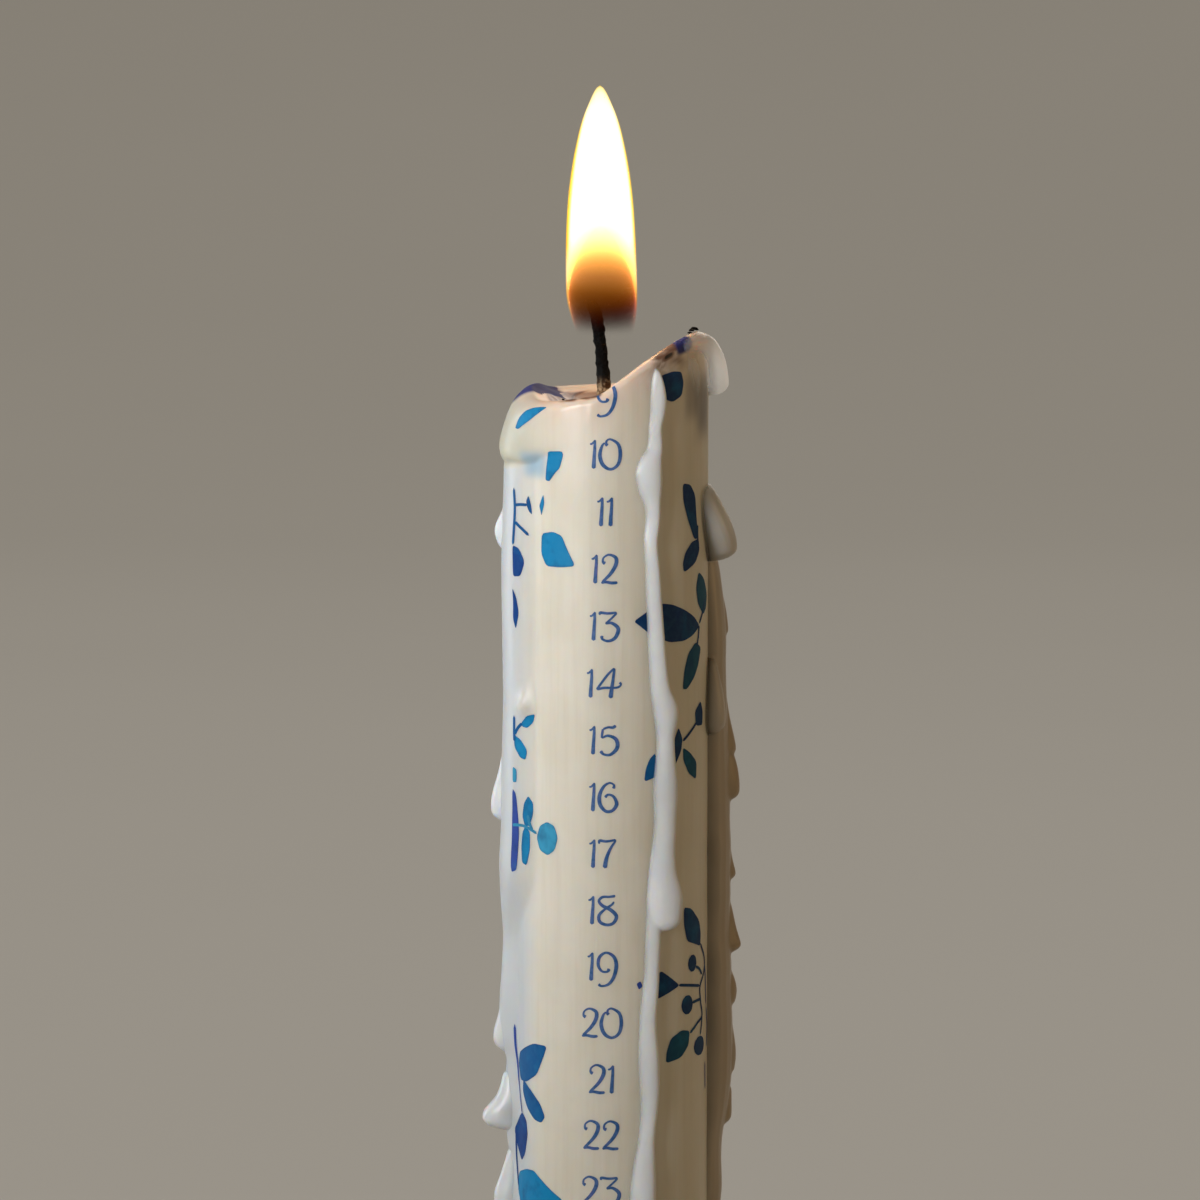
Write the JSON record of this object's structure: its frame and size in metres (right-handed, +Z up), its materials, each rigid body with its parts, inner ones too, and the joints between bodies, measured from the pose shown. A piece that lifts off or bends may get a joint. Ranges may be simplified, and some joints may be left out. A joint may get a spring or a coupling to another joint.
{
  "type": "melted countdown candle",
  "caption": "Burnt-down dinner candle with a melted, slanted rim, runs of wax down its sides, a charred wick and a flame.",
  "frame": {"origin": "middle of the flat foot", "axes": "+Z up along the candle, -Y the numbered front, +X the side with the standing spur"},
  "size_m": [0.0304, 0.0243, 0.1524],
  "materials": {
    "wax": "ivory paraffin wax, satin, milky where it ran",
    "charred_cotton": "braided cotton, charred at the end",
    "flame_glow": "glowing gas, white in the middle and orange at the foot"
  },
  "bodies": {
    "root": {"wax_body": "wax", "wick": "charred_cotton", "flame": "flame_glow"}
  },
  "joints": []
}
